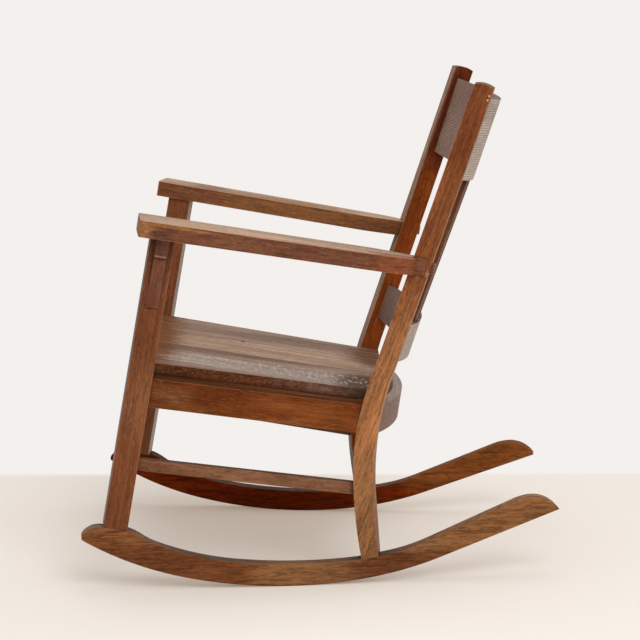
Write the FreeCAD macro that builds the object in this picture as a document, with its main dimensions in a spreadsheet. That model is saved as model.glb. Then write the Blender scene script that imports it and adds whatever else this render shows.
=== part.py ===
import FreeCAD, Part
import math
import os
import Sketcher

# Oak rocking chair, in millimetres. X runs across the chair, +Y to the back and +Z up.
# The origin is on the floor, under the middle of the chair. Left is the sitter's left, at +X.

SIZES = {
    # Sides: the plane of each rocker and its front leg closes in towards the back.
    "side_spread": 283.1,
    "side_splay_angle": 6.45,
    # Rockers
    "rocker_rear_reach": 424.2,
    "rocker_thickness": 28.0,
    "rocking_radius": 861.0,
    "rocking_centre": 50.4,
    "rocker_toe_reach": 58.0,
    "rocker_toe_height": 93.5,
    "rocker_hump_height": 148.0,
    "rocker_waist_height": 39.2,
    "rocker_ogee_length": 48.2,
    # Front legs
    "leg_thickness": 42.0,
    "leg_lean_angle": 9.9,
    "leg_foot_reach": 361.2,
    "leg_foot_height": 112.0,
    "leg_landing_angle": 9.65,
    "leg_landing_margin": 3.0,
    "leg_tenon_width": 22.0,
    "leg_tenon_thickness": 12.0,
    "leg_foot_tenon_length": 22.0,
    "leg_top_tenon_length": 16.0,
    # Rear posts: each stands in a plane turned out towards the back.
    "post_spread": 275.0,
    "post_setback": 88.0,
    "post_turn_angle": 8.2,
    "post_thickness": 40.0,
    "post_front_rake_angle": 18.85,
    "post_rear_rake_angle": 18.9,
    "post_height": 879.0,
    "post_top_fall": 9.5,
    "post_top_crown": 3.5,
    "post_knee_height": 350.0,
    "post_knee_front": 10.0,
    "post_knee_rear": 25.0,
    "post_shank_front": 35.0,
    "post_shank_front_height": 190.0,
    "post_shank_rear": 1.5,
    "post_shank_rear_height": 150.0,
    "post_foot_front": 18.0,
    "post_foot_rear": 10.0,
    "post_foot_height": 46.8,
    "post_foot_margin": 12.0,
    "post_landing_angle": 9.65,
    "post_landing_length": 40.0,
    "post_foot_tenon_length": 20.0,
    "post_foot_tenon_width": 16.0,
    "post_foot_tenon_thickness": 12.0,
    # Arms
    "arm_thickness": 28.0,
    "arm_pitch_angle": 9.1,
    "arm_tilt_angle": 1.5,
    "arm_height": 604.6,
    "arm_front_overhang": 45.0,
    "arm_outer_overhang": 47.0,
    "arm_inner_overhang": 50.0,
    "arm_rear_outer": 41.0,
    "arm_rear_inner": 36.0,
    "arm_inner_taper_start": 88.0,
    "arm_taper_start": 60.0,
    "arm_taper_end": 132.0,
    "arm_corner": 6.0,
    "arm_cheek_start": 72.0,
    "arm_cheek_reach": 93.0,
    "arm_cheek_depth": 4.0,
    "arm_tenon_height": 17.0,
    "arm_tenon_inset": 6.0,
    "arm_tenon_thickness": 14.0,
    "arm_tenon_proud": 7.0,
    # Corbels under the arms
    "corbel_width": 22.0,
    "corbel_drop": 124.0,
    "corbel_nose": 26.0,
    "corbel_reach": 22.0,
    "corbel_toe": 2.5,
    # Seat boards
    "seat_height": 348.6,
    "seat_pitch_angle": 8.53,
    "seat_thickness": 18.0,
    "seat_inset": 57.0,
    "seat_front_overhang": 0.5,
    "seat_rear_reach": 112.0,
    "seat_front_round": 7.0,
    "seat_board_width": 100.0,
    # Seat frame
    "side_rail_depth": 51.0,
    "side_rail_thickness": 22.0,
    "side_rail_inset": 6.0,
    "front_rail_depth": 48.0,
    "front_rail_thickness": 22.0,
    "rear_rail_drop": 1.0,
    "rear_rail_depth": 52.5,
    "rear_rail_thickness": 17.5,
    "rear_rail_bow": 46.0,
    "rear_rail_reach": 90.2,
    "rear_rail_half_span": 235.0,
    "cleat_width": 34.0,
    "cleat_depth": 26.0,
    "cleat_front_gap": 3.0,
    "cleat_rear_gap": 18.0,
    "rail_tenon_thickness": 10.0,
    "rail_tenon_shoulder": 8.0,
    "rail_tenon_length": 17.0,
    # Side stretchers
    "stretcher_thickness": 19.0,
    "stretcher_depth": 21.5,
    "stretcher_inset": 18.0,
    "stretcher_height": 175.8,
    "stretcher_pitch_angle": 8.0,
    "stretcher_tenon_depth": 14.0,
    "stretcher_tenon_thickness": 10.0,
    "stretcher_tenon_length": 15.0,
    # Back: bowed rails in a raked plane, with straight slats between them
    "back_rake_angle": 18.5,
    "back_plane": 20.0,
    "bow_housing": 13.0,
    "bow_end_shoulder": 5.0,
    "bow_face_shoulder": 1.5,
    "crest_drop": 30.2,
    "crest_height": 146.5,
    "crest_belly": 5.0,
    "crest_thickness": 12.0,
    "crest_half_span": 260.0,
    "crest_bow": 50.0,
    "lower_rail_base": 410.5,
    "lower_rail_height": 65.0,
    "lower_rail_belly": 7.0,
    "lower_rail_thickness": 12.0,
    "lower_rail_half_span": 240.0,
    "lower_rail_bow": 43.5,
    "slat_width": 38.0,
    "slat_thickness": 7.0,
    "slat_forward": 2.0,
    "slat_spacing": 65.0,
    "slat_housing": 12.0,
    # Fits and fasteners
    "tenon_clearance": 0.2,
    "mortise_gap": 1.0,
    "tenon_root": 30.0,
    "rail_margin": 8.0,
    "overrun": 60.0,
    "brad_size": 3.2,
    "brad_length": 38.0,
    "brad_recess": 0.2,
    "brad_drop": 21.5,
    "brad_spacing": 7.0,
    "brad_edge_distance": 3.5,
    "brad_toe_angle": 20.0,
    "fastener_clearance": 0.1,
    "screw_size": 4.2,
    "screw_length": 48.0,
    "screw_head_size": 8.0,
    "screw_head_depth": 3.0,
    "screw_end_distance": 45.0,
}

SEAT_BOARDS = 5
BACK_SLATS = 5
CLEAT_SCREWS = 3
QUARTER_TURN = 90
HALF_TURN = 180

# Corners of the rocker: as shares of its rear reach and of the height of its hump, ...
rocker_rear_knee_share = 0.187
rocker_straight_shares = (0.473, 0.2734)
rocker_tail_shares = (0.9965, 0.8416)
rocker_hump_shares = ((0.9346, 0.976), (0.8734, 0.996))
rocker_back_shares = ((0.8085, 0.9467), (0.4497, 0.503))

# ... as shares of the leg's reach, ...
rocker_front_knee_share = -0.664
rocker_waist_shares = (-0.415, 0.3104)

# ... and along the ogee behind the leg and the tip ahead of it.
rocker_ogee_shares = ((1.0, 0.5507), (0.456, 0.649))
rocker_tip_shares = ((0.724, 0.7686), (0.964, 0.7025))

# The corbel's cove, as shares of its reach and of the drop below its nose.
corbel_cove_shares = (0.3, 0.4)
corbel_lip_share = 0.72

# How far the middle of a round corner lies from the square corner, as a share of its radius.
corner_middle_share = 0.293

# Where the side rail meets the post between its knee and its shank.
post_rail_share = 0.4

doc = FreeCAD.newDocument("rocking_chair")
sheet = doc.addObject("Spreadsheet::Sheet", "Sizes")
for row, (alias, number) in enumerate(SIZES.items(), start=1):
    sheet.set(f"A{row}", alias.replace("_", " "))
    sheet.set(f"B{row}", str(number))
    sheet.setAlias(f"B{row}", alias)
doc.recompute()


class Size:
    """A length, angle or ratio with the formula that gives it from the sheet."""

    def __init__(self, value, formula):
        self.value = value
        self.formula = formula

    def __add__(self, other):
        other = asSize(other)
        return Size(self.value + other.value, f"({self.formula} + {other.formula})")

    def __sub__(self, other):
        other = asSize(other)
        return Size(self.value - other.value, f"({self.formula} - {other.formula})")

    def __mul__(self, other):
        other = asSize(other)
        return Size(self.value * other.value, f"({self.formula} * {other.formula})")

    def __truediv__(self, other):
        other = asSize(other)
        return Size(self.value / other.value, f"({self.formula} / {other.formula})")

    def __neg__(self):
        return Size(-self.value, f"(-1 * {self.formula})")

    __rmul__ = __mul__
    __radd__ = __add__


def asSize(amount):
    if isinstance(amount, Size):
        return amount
    return Size(float(amount), f"({amount})")


def size(alias):
    return Size(float(sheet.get(alias)), f"Sizes.{alias}")


def sine(angle):
    return Size(math.sin(math.radians(angle.value)), f"sin({angle.formula} * 1 deg)")


def cosine(angle):
    return Size(math.cos(math.radians(angle.value)), f"cos({angle.formula} * 1 deg)")


def tangent(angle):
    return Size(math.tan(math.radians(angle.value)), f"tan({angle.formula} * 1 deg)")


def squareRoot(amount):
    return Size(math.sqrt(amount.value), f"sqrt({amount.formula})")


ZERO = asSize(0)
AXES = {"X": (1, 0, 0), "Y": (0, 1, 0), "Z": (0, 0, 1)}


def place(x=ZERO, y=ZERO, z=ZERO, axis="Z", angle=ZERO):
    """The formula of a placement: a move, and then a turn about one axis."""
    turnAxis = "vector({}; {}; {})".format(*AXES[axis])
    base = f"vector({asSize(x).formula}; {asSize(y).formula}; {asSize(z).formula})"
    return f"placement({base}; rotation({turnAxis}; {asSize(angle).formula}))"


def chain(*places):
    return " * ".join(places)


def vertex(x, y):
    return FreeCAD.Vector(x.value, y.value, 0)


def arcMiddle(start, heading, end):
    """The middle of the arc that leaves start along heading, and its heading at the end."""
    chord = end - start
    direction = math.atan2(chord.y, chord.x)
    halfTurn = math.remainder(direction - heading, 2 * math.pi)
    sagitta = chord.Length / 2 * math.tan(halfTurn / 2)
    bulge = FreeCAD.Vector(math.sin(direction), -math.cos(direction), 0) * sagitta
    return (start + end) * 0.5 + bulge, direction + halfTurn


def addArc(sketch, start, middle, end):
    """Add an arc. Return its index, and the numbers of its first and last point."""
    guide = Part.Circle(start, middle, end)
    circle = Part.Circle(guide.Center, FreeCAD.Vector(0, 0, 1), guide.Radius)
    first = math.atan2(start.y - guide.Center.y, start.x - guide.Center.x)
    last = math.atan2(end.y - guide.Center.y, end.x - guide.Center.x)
    if turnsLeft(start, middle, end):
        return sketch.addGeometry(Part.ArcOfCircle(circle, first, last)), 1, 2
    return sketch.addGeometry(Part.ArcOfCircle(circle, last, first)), 2, 1


def turnsLeft(start, middle, end):
    return (middle - start).cross(end - middle).z > 0


def tie(sketch, kind, index, point, amount):
    """Hold a point's distance from the sketch's origin to its formula."""
    constraint = Sketcher.Constraint(kind, -1, 1, index, point, amount.value)
    number = sketch.addConstraint(constraint)
    sketch.setExpression(f"Constraints[{number}]", amount.formula)


def tiePoint(sketch, index, point, x, y):
    tie(sketch, "DistanceX", index, point, x)
    tie(sketch, "DistanceY", index, point, y)


def arcHeading(start, middle, end, spot):
    """The direction of the arc from start to end where it passes spot."""
    radial = spot - Part.Circle(start, middle, end).Center
    quarter = math.pi / 2 if turnsLeft(start, middle, end) else -math.pi / 2
    return math.atan2(radial.y, radial.x) + quarter


def drawOutline(sketch, steps):
    """Draw a closed outline of straight lines and arcs, with every corner tied to the sheet.

    A step is ("from", x, y), ("line", x, y), ("bend", x, y of a middle point, x, y),
    ("smooth", x, y), an arc tangent to the step before it, or ("into", x, y), an arc
    that is tangent to the first step, where the outline closes.
    """
    corners = [(step[-2], step[-1]) for step in steps]
    made = []
    direction = 0.0
    for number, step in enumerate(steps[1:], start=1):
        start = vertex(*corners[number - 1])
        end = vertex(*corners[number])
        if step[0] == "line":
            made.append((sketch.addGeometry(Part.LineSegment(start, end)), 1, 2))
            direction = math.atan2(end.y - start.y, end.x - start.x)
        elif step[0] == "bend":
            middle = vertex(step[1], step[2])
            made.append(addArc(sketch, start, middle, end))
            direction = arcHeading(start, middle, end, end)
        elif step[0] == "smooth":
            middle, direction = arcMiddle(start, direction, end)
            made.append(addArc(sketch, start, middle, end))
        else:
            first = vertex(steps[1][1], steps[1][2])
            opening = arcHeading(end, first, vertex(*corners[1]), end)
            middle, direction = arcMiddle(end, opening + math.pi, start)
            made.append(addArc(sketch, start, middle, end))
    if steps[-1][0] != "into":
        line = Part.LineSegment(vertex(*corners[-1]), vertex(*corners[0]))
        made.append((sketch.addGeometry(line), 1, 2))
    for number, (index, first, last) in enumerate(made):
        following = (number + 1) % len(made)
        nextIndex, nextFirst, nextLast = made[following]
        stepAfter = steps[following + 1][0] if following + 1 < len(steps) else "line"
        smooth = stepAfter == "smooth" or (following == 0 and steps[-1][0] == "into")
        kind = "Tangent" if smooth else "Coincident"
        sketch.addConstraint(Sketcher.Constraint(kind, index, last, nextIndex, nextFirst))
    for number, (index, first, last) in enumerate(made):
        tiePoint(sketch, index, first, *corners[number])
        step = steps[number + 1] if number + 1 < len(steps) else ("line",)
        if step[0] == "bend":
            point = sketch.addGeometry(Part.Point(vertex(step[1], step[2])), True)
            tiePoint(sketch, point, 1, step[1], step[2])
            sketch.addConstraint(Sketcher.Constraint("PointOnObject", point, 1, index))


def pad(name, plane, steps, depth, spot, below=ZERO):
    """A body padded to a depth from an outline, which lies below its plane by a distance."""
    body = doc.addObject("PartDesign::Body", name)
    sketch = body.newObject("Sketcher::SketchObject", f"{name}_outline")
    support = [item for item in body.Origin.OriginFeatures if item.Role == plane][0]
    sketch.AttachmentSupport = [(support, "")]
    sketch.MapMode = "FlatFace"
    sketch.setExpression("AttachmentOffset.Base.z", below.formula)
    drawOutline(sketch, steps)
    solid = body.newObject("PartDesign::Pad", f"{name}_pad")
    solid.Profile = sketch
    solid.setExpression("Length", depth.formula)
    body.setExpression("Placement", spot)
    return body


def box(name, spot, x, y, z):
    """A box that spans the pairs x, y and z in the frame of spot."""
    solid = doc.addObject("Part::Box", name)
    solid.setExpression("Length", (x[1] - x[0]).formula)
    solid.setExpression("Width", (y[1] - y[0]).formula)
    solid.setExpression("Height", (z[1] - z[0]).formula)
    solid.setExpression("Placement", chain(spot, place(x[0], y[0], z[0])))
    return solid


def cut(name, base, *tools):
    for number, tool in enumerate(tools, start=1):
        step = doc.addObject("Part::Cut", f"{name}_cut{number}")
        step.Base = base
        step.Tool = tool
        base = step
    return base


def fuse(name, base, *others):
    for number, other in enumerate(others, start=1):
        step = doc.addObject("Part::Fuse", f"{name}_join{number}")
        step.Base = base
        step.Tool = other
        base = step
    return base


def rod(name, spot, radius, low, high):
    """A round rod along the Z axis of spot, from low to high."""
    solid = doc.addObject("Part::Cylinder", name)
    solid.setExpression("Radius", radius.formula)
    solid.setExpression("Height", (high - low).formula)
    solid.setExpression("Placement", chain(spot, place(z=low)))
    return solid


def gathered(name, solids):
    """Several like pieces under one name."""
    group = doc.addObject("Part::Compound", name)
    group.Links = solids
    return group


def mirrored(name, source):
    """The same shape on the other side of the chair."""
    twin = doc.addObject("Part::Mirroring", name)
    twin.Source = source
    twin.Normal = FreeCAD.Vector(1, 0, 0)
    return twin


def tenonPair(name, spot, width, thickness, length):
    """A tenon that runs along +Z from its shoulder at spot, and its mortise's void."""
    root = size("tenon_root")
    clearance = size("tenon_clearance")
    halfWidth = width / 2
    halfThickness = thickness / 2
    tenon = box(
        f"{name}_tenon", spot,
        (-halfWidth, halfWidth), (-halfThickness, halfThickness), (-root, length))
    wide = halfWidth + clearance
    thick = halfThickness + clearance
    mortise = box(
        f"{name}_mortise", spot,
        (-wide, wide), (-thick, thick), (-root, length + size("mortise_gap")))
    return tenon, mortise


# Frames: each side's plane, each post's plane, the raked back and the pitched seat
splay = size("side_splay_angle")
side = place(size("side_spread"), ZERO, ZERO, "Z", splay)
post = place(size("post_spread"), size("post_setback"), ZERO, "Z", -size("post_turn_angle"))
back = place(axis="X", angle=-size("back_rake_angle"))
seat = place(ZERO, ZERO, size("seat_height"), "X", -size("seat_pitch_angle"))
armUnderside = size("arm_height") - size("arm_thickness")
arm = chain(
    side,
    place(ZERO, ZERO, armUnderside, "X", -size("arm_pitch_angle")),
    place(axis="Y", angle=size("arm_tilt_angle")))
overrun = size("overrun")
seatSlope = tangent(size("seat_pitch_angle")) * cosine(splay)
seatUnderside = size("seat_height") - size("seat_thickness") / cosine(size("seat_pitch_angle"))
legHalf = size("leg_thickness") / 2 / cosine(size("leg_lean_angle"))
parts = {}


def postFootReach():
    """Where the middle of the post's foot stands along the rocker."""
    middle = (size("post_foot_rear") - size("post_foot_front")) / 2
    return (size("post_setback") + middle) / cosine(splay)


def legAxisAt(z):
    """Where the leg's axis is at a height, along its side's plane."""
    return tangent(size("leg_lean_angle")) * (z - size("leg_foot_height")) - size("leg_foot_reach")


def behindLeg(drop):
    """The point of the leg's rear face at a drop below the seat's underside."""
    lean = tangent(size("leg_lean_angle"))
    level = seatUnderside - drop
    y = (legAxisAt(level) + legHalf) / (lean * seatSlope + 1)
    return y, level - seatSlope * y


armSlope = tangent(size("arm_pitch_angle"))
legTopY = legAxisAt(armUnderside) / (armSlope * tangent(size("leg_lean_angle")) + 1)


def postFaceAt(z, slope, face):
    """Where a line that falls from z at the post's origin meets its front or rear edge."""
    rake = tangent(size(f"post_{face}_rake_angle"))
    knee = size("post_knee_rear") if face == "rear" else -size("post_knee_front")
    return (knee + (z - size("post_knee_height")) * rake) / (rake * slope + 1)


def rockerOutline():
    """The rocker from the side: rocking arc, straight tail, hump, waist, ogee and tip."""
    length = size("rocker_rear_reach")
    hump = size("rocker_hump_height")
    radius = size("rocking_radius")
    centre = size("rocking_centre")

    def at(shares):
        return length * shares[0], hump * shares[1]

    def onArc(y):
        reach = y + centre
        return y, radius - squareRoot(radius * radius - reach * reach)

    legSlope = tangent(size("leg_landing_angle"))
    legLanding = size("leg_thickness") / 2 + size("leg_landing_margin")
    legFoot = -size("leg_foot_reach")
    legHeight = size("leg_foot_height")
    postSlope = tangent(size("post_landing_angle"))
    postLanding = size("post_landing_length") / 2
    postFoot = postFootReach()
    postHeight = size("post_foot_height")
    frontKnee = onArc(size("leg_foot_reach") * rocker_front_knee_share)
    waist = size("leg_foot_reach") * rocker_waist_shares[0]
    landingEnd = legFoot + legLanding
    ogee = [(landingEnd + size("rocker_ogee_length") * shares[0], hump * shares[1])
            for shares in rocker_ogee_shares]
    toe = size("rocker_toe_reach")
    tip = [(legFoot - toe * shares[0], hump * shares[1]) for shares in rocker_tip_shares]
    return [
        ("from", *frontKnee),
        ("bend", -centre, ZERO, *onArc(length * rocker_rear_knee_share)),
        ("smooth", *at(rocker_straight_shares)),
        ("line", *at(rocker_tail_shares)),
        ("bend", *at(rocker_hump_shares[0]), *at(rocker_hump_shares[1])),
        ("smooth", *at(rocker_back_shares[0])),
        ("line", *at(rocker_back_shares[1])),
        ("smooth", postFoot + postLanding, postHeight + postLanding * postSlope),
        ("line", postFoot - postLanding, postHeight - postLanding * postSlope),
        ("bend", -centre, size("rocker_waist_height"), waist, hump * rocker_waist_shares[1]),
        ("smooth", *ogee[0]),
        ("smooth", *ogee[1]),
        ("smooth", landingEnd, legHeight - legLanding * legSlope),
        ("line", legFoot - legLanding, legHeight + legLanding * legSlope),
        ("bend", *tip[0], *tip[1]),
        ("smooth", legFoot - toe, size("rocker_toe_height")),
        ("into", *frontKnee),
    ]


def legOutline():
    """The leg from the side, from its foot on the rocker to above the arm's underside."""
    slope = tangent(size("leg_landing_angle"))
    foot = legHalf / (slope * tangent(size("leg_lean_angle")) + 1)
    reach = -size("leg_foot_reach")
    low = size("leg_foot_height")
    high = size("arm_height") + overrun
    top = legAxisAt(high)
    return [
        ("from", reach + foot, low - foot * slope),
        ("line", top + legHalf, high),
        ("line", top - legHalf, high),
        ("line", reach - foot, low + foot * slope),
    ]


def postOutline():
    """The post from the side: foot, shank, knee, and a straight tapered rake to its top."""
    knee = size("post_knee_height")
    frontHigh = size("post_height")
    rearHigh = frontHigh - size("post_top_fall")
    crown = (frontHigh + rearHigh) / 2 + size("post_top_crown")
    frontTop = (frontHigh - knee) * tangent(size("post_front_rake_angle")) - size("post_knee_front")
    rearTop = (rearHigh - knee) * tangent(size("post_rear_rake_angle")) + size("post_knee_rear")
    foot = size("post_foot_height") - size("post_foot_margin")
    return [
        ("from", size("post_foot_rear"), foot),
        ("line", size("post_shank_rear"), size("post_shank_rear_height")),
        ("smooth", size("post_knee_rear"), knee),
        ("line", rearTop, rearHigh),
        ("bend", (frontTop + rearTop) / 2, crown, frontTop, frontHigh),
        ("line", -size("post_knee_front"), knee),
        ("smooth", -size("post_shank_front"), size("post_shank_front_height")),
        ("smooth", -size("post_foot_front"), foot),
    ]


def armOutline():
    """The arm from above, in its own plane, with its cheek along the post's outer face."""
    outer = size("arm_outer_overhang")
    inner = -size("arm_inner_overhang")
    front = legTopY / cosine(size("arm_pitch_angle")) - size("arm_front_overhang")
    corner = size("arm_corner")
    cornerShare = corner * corner_middle_share
    innerX, innerY = postPointInArm(-size("post_thickness") + corner, size("arm_cheek_start"))
    wedge = sine(splay + size("post_turn_angle"))
    cheekX, cheekY = postPointInArm(ZERO, size("arm_cheek_start"))
    endX, endY = postPointInArm(ZERO, size("arm_cheek_reach"))
    depth = size("post_thickness") / 2
    return [
        ("from", inner, front + corner),
        ("bend", inner + cornerShare, front + cornerShare, inner + corner, front),
        ("line", outer - corner, front),
        ("bend", outer - cornerShare, front + cornerShare, outer, front + corner),
        ("line", outer, size("arm_taper_start")),
        ("smooth", size("arm_rear_outer"), size("arm_taper_end")),
        ("smooth", cheekX, cheekY),
        ("line", endX, endY),
        ("line", endX - depth, endY + depth * wedge),
        ("line", innerX, innerY),
        ("line", -size("arm_rear_inner"), size("arm_inner_taper_start")),
    ]


def postPointInArm(x, y):
    """A point of the post's frame in the arm's plane."""
    turn = size("post_turn_angle")
    across = size("post_spread") + x * cosine(turn) + y * sine(turn) - size("side_spread")
    rear = size("post_setback") - x * sine(turn) + y * cosine(turn)
    along = (rear * cosine(splay) - across * sine(splay)) / cosine(size("arm_pitch_angle"))
    return across * cosine(splay) + rear * sine(splay), along


def bowedSlab(name, spot, kind, thickness, base, top, slack=ZERO):
    """A slab bowed to the rear, as long as its housings are deep, around its centre line."""
    span = size(f"{kind}_half_span")
    bow = size(f"{kind}_bow")
    radius = (span * span + bow * bow) / (bow * 2)
    middle = bowMiddle(kind)
    centre = middle - radius
    reach = (span + size("bow_housing") + slack) / radius
    rise = squareRoot(asSize(1) - reach * reach)
    outer = radius + thickness / 2
    inner = radius - thickness / 2
    steps = [
        ("from", outer * reach, centre + outer * rise),
        ("bend", ZERO, centre + outer, -outer * reach, centre + outer * rise),
        ("line", -inner * reach, centre + inner * rise),
        ("bend", ZERO, centre + inner, inner * reach, centre + inner * rise),
    ]
    return pad(name, "XY_Plane", steps, top - base, spot, base)


def bowMiddle(kind):
    """Where a bowed rail's centre line is in the middle of the chair."""
    if kind == "rear_rail":
        return size("rear_rail_reach") + size("rear_rail_thickness") / 2 + size("rear_rail_bow")
    return size(f"{kind}_thickness") / 2 - size("back_plane") + size(f"{kind}_bow")


def bowAt(kind, x):
    """Where a bowed rail's centre line is at a distance from the middle of the chair."""
    span = size(f"{kind}_half_span")
    bow = size(f"{kind}_bow")
    radius = (span * span + bow * bow) / (bow * 2)
    return bowMiddle(kind) - radius + squareRoot(radius * radius - x * x)


def bellied(name, slab, kind, spot, base, top):
    """A bowed slab with its lower edge drawn down in the middle."""
    reach = size(f"{kind}_half_span") + overrun
    belly = size(f"{kind}_belly")
    steps = [
        ("from", -reach, base),
        ("bend", ZERO, base - belly, reach, base),
        ("line", reach, top),
        ("line", -reach, top),
    ]
    elevation = pad(f"{name}_elevation", "XZ_Plane", steps, overrun * 2, spot, -overrun)
    common = doc.addObject("Part::Common", f"{name}_bellied")
    common.Base = slab
    common.Tool = elevation
    return common


def makeBowedRail(name, spot, kind, base, top, posts, faceShoulder):
    """A bowed rail with its tenons, and the void of their mortises."""
    thickness = size(f"{kind}_thickness")
    slab = bowedSlab(f"{name}_slab", spot, kind, thickness, base, top)
    if kind != "rear_rail":
        low = base - size(f"{kind}_belly")
        slab = bowedSlab(f"{name}_deep_slab", spot, kind, thickness, low, top)
        slab = bellied(name, slab, kind, spot, base, top)
    shoulder = size("bow_end_shoulder")
    clearance = size("tenon_clearance")
    thin = thickness - faceShoulder * 2
    tenons = bowedSlab(
        f"{name}_tenons", spot, kind, thin, base + shoulder, top - shoulder)
    voids = bowedSlab(
        f"{name}_mortises", spot, kind, thin + clearance * 2,
        base + shoulder - clearance, top - shoulder + clearance, size("mortise_gap"))
    return fuse(name, cut(name, slab, *posts), tenons), voids


# Blanks of the legs and posts, which also trim what butts against them
rockerBlank = pad(
    "rocker_blank", "YZ_Plane", rockerOutline(), size("rocker_thickness"), side,
    -size("rocker_thickness"))
legBlank = pad(
    "leg_blank", "YZ_Plane", legOutline(), size("leg_thickness"), side,
    -size("leg_thickness"))
postBlank = pad(
    "post_blank", "YZ_Plane", postOutline(), size("post_thickness"), post,
    -size("post_thickness"))
postTwin = mirrored("post_blank_twin", postBlank)
legTwin = mirrored("leg_blank_twin", legBlank)
wide = size("side_spread") + overrun
seatVoid = box(
    "seat_void", chain(seat, place(z=-size("seat_thickness"))),
    (-wide, wide), (-wide * 2, wide), (ZERO, overrun * 2))
armVoid = box("arm_void", arm, (-overrun * 2, overrun * 2), (-wide * 2, wide), (ZERO, overrun * 2))

# Seat rails along the sides, and the cleats that carry the seat's edges
railTenonDepth = size("side_rail_depth") - size("rail_tenon_shoulder") * 2
railOuter = -size("side_rail_inset")
railInner = railOuter - size("side_rail_thickness")
railMiddle = (railOuter + railInner) / 2
railRear = size("post_setback") / cosine(splay)


def onRail(y, drop):
    return y, seatUnderside - drop - seatSlope * y


railSteps = [
    ("from", *behindLeg(size("side_rail_depth"))),
    ("line", *onRail(railRear, size("side_rail_depth"))),
    ("line", *onRail(railRear, -size("rail_margin"))),
    ("line", *behindLeg(-size("rail_margin"))),
]
railBlank = pad(
    "side_rail_blank", "YZ_Plane", railSteps, size("side_rail_thickness"), side, railInner)
railTrimmed = cut("side_rail", railBlank, seatVoid, postBlank)
frontY, frontZ = behindLeg(size("side_rail_depth") / 2)
railFront, legRailMortise = tenonPair(
    "side_rail_front",
    chain(side, place(railMiddle, frontY, frontZ, "X", asSize(QUARTER_TURN) - size("seat_pitch_angle"))),
    size("rail_tenon_thickness"), railTenonDepth, size("rail_tenon_length"))
postFront = (
    size("post_knee_front") * (1 - post_rail_share)
    + size("post_shank_front") * post_rail_share)
rearY = (size("post_setback") - postFront) / cosine(splay)
railBack, postRailMortise = tenonPair(
    "side_rail_rear",
    chain(side, place(railMiddle, *onRail(rearY, size("side_rail_depth") / 2), "X",
                      -size("seat_pitch_angle") - QUARTER_TURN)),
    size("rail_tenon_thickness"), railTenonDepth, size("rail_tenon_length"))

cleatRear = railRear - size("cleat_rear_gap")
cleatFront, cleatTop = behindLeg(ZERO)
cleatFront = cleatFront + size("cleat_front_gap")
cleatSteps = [
    ("from", *onRail(cleatFront, size("cleat_depth"))),
    ("line", *onRail(cleatRear, size("cleat_depth"))),
    ("line", *onRail(cleatRear, -size("rail_margin"))),
    ("line", *onRail(cleatFront, -size("rail_margin"))),
]
cleatBlank = pad(
    "cleat_blank", "YZ_Plane", cleatSteps, size("cleat_width"), side,
    railInner - size("cleat_width"))
screws = []
screwVoids = []
screwRun = cleatRear - cleatFront - size("screw_end_distance") * 2
for number in range(CLEAT_SCREWS):
    y = cleatFront + size("screw_end_distance") + screwRun * number / (CLEAT_SCREWS - 1)
    spot = chain(
        side, place(railInner - size("cleat_width"), *onRail(y, size("cleat_depth") / 2)),
        place(axis="Y", angle=asSize(QUARTER_TURN)))
    name = f"screw_{number + 1}"
    loose = size("fastener_clearance")
    shank = rod(f"{name}_shank", spot, size("screw_size") / 2, ZERO, size("screw_length"))
    head = rod(f"{name}_head", spot, size("screw_head_size") / 2, ZERO, size("screw_head_depth"))
    screws.append(fuse(name, shank, head))
    screwVoids.append(rod(
        f"{name}_hole", spot, size("screw_size") / 2 + loose, ZERO,
        size("screw_length") + size("mortise_gap")))
    screwVoids.append(rod(
        f"{name}_seat", spot, size("screw_head_size") / 2 + loose, -loose,
        size("screw_head_depth")))
cleatScrews = gathered("cleat_screws", screws + [
    mirrored(f"{screw.Name}_twin", screw) for screw in screws])
cleat = cut("cleat", cleatBlank, seatVoid, *screwVoids)
sideRail = fuse("side_rail", cut("side_rail_bored", railTrimmed, *screwVoids), railFront, railBack)

# Stretchers between each leg and post
stretcherSlope = tangent(size("stretcher_pitch_angle"))
stretcherHalf = size("stretcher_depth") / 2
stretcherMiddle = -size("stretcher_inset") - size("stretcher_thickness") / 2


def stretcherFront(rise):
    """The point of the leg's rear face that lies a rise above the stretcher's centre line."""
    level = size("stretcher_height") + rise
    y = (legAxisAt(level) + legHalf) / (stretcherSlope * tangent(size("leg_lean_angle")) + 1)
    return y, level - stretcherSlope * y


def onStretcher(y, rise):
    return y, size("stretcher_height") + rise - stretcherSlope * y


stretcherSteps = [
    ("from", *stretcherFront(-stretcherHalf)),
    ("line", *onStretcher(railRear, -stretcherHalf)),
    ("line", *onStretcher(railRear, stretcherHalf)),
    ("line", *stretcherFront(stretcherHalf)),
]
stretcherBlank = pad(
    "stretcher_blank", "YZ_Plane", stretcherSteps, size("stretcher_thickness"), side,
    -size("stretcher_inset") - size("stretcher_thickness"))
stretcherTrimmed = cut("stretcher", stretcherBlank, postBlank)
stretcherTenon, legStretcherMortise = tenonPair(
    "stretcher_front",
    chain(side, place(stretcherMiddle, *stretcherFront(ZERO), "X",
                      asSize(QUARTER_TURN) - size("stretcher_pitch_angle"))),
    size("stretcher_tenon_thickness"), size("stretcher_tenon_depth"),
    size("stretcher_tenon_length"))
shankY = (size("post_setback") - size("post_shank_front")) / cosine(splay)
stretcherBack, postStretcherMortise = tenonPair(
    "stretcher_rear",
    chain(side, place(stretcherMiddle, *onStretcher(shankY, ZERO), "X",
                      -size("stretcher_pitch_angle") - QUARTER_TURN)),
    size("stretcher_tenon_thickness"), size("stretcher_tenon_depth"),
    size("stretcher_tenon_length"))
stretcher = fuse("stretcher", stretcherTrimmed, stretcherTenon, stretcherBack)

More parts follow.
